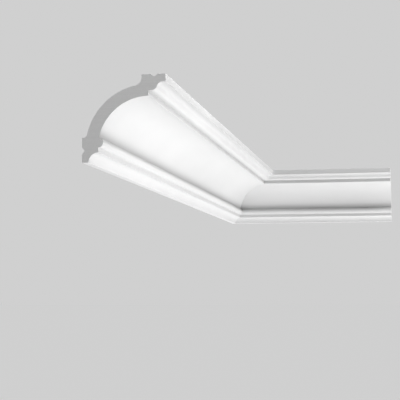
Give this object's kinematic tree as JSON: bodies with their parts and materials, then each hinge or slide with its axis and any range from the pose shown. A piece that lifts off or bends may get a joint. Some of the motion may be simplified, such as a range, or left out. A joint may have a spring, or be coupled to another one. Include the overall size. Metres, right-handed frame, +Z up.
{
  "type": "cornice moulding",
  "caption": "Cove cornice moulding with a bead, step and cyma under its top fillet, mitred round an inside corner and cut square at its free ends, to cover the line between wall and ceiling.",
  "frame": {"origin": "on the wall bed of the long length, half-way along it and 5 mm above its foot, where it is glued to the wall", "axes": "+X out from that wall into the room, +Y along the long length to the inside corner, +Z up to the ceiling"},
  "size_m": [0.313, 1.02, 0.095],
  "materials": {
    "primed_polymer": "white primed skin with a soft sheen on rigid polymer foam, pale grey where it is sawn"
  },
  "bodies": {
    "root": {"cornice_length_long": "primed_polymer", "cornice_length_short": "primed_polymer"}
  },
  "joints": []
}
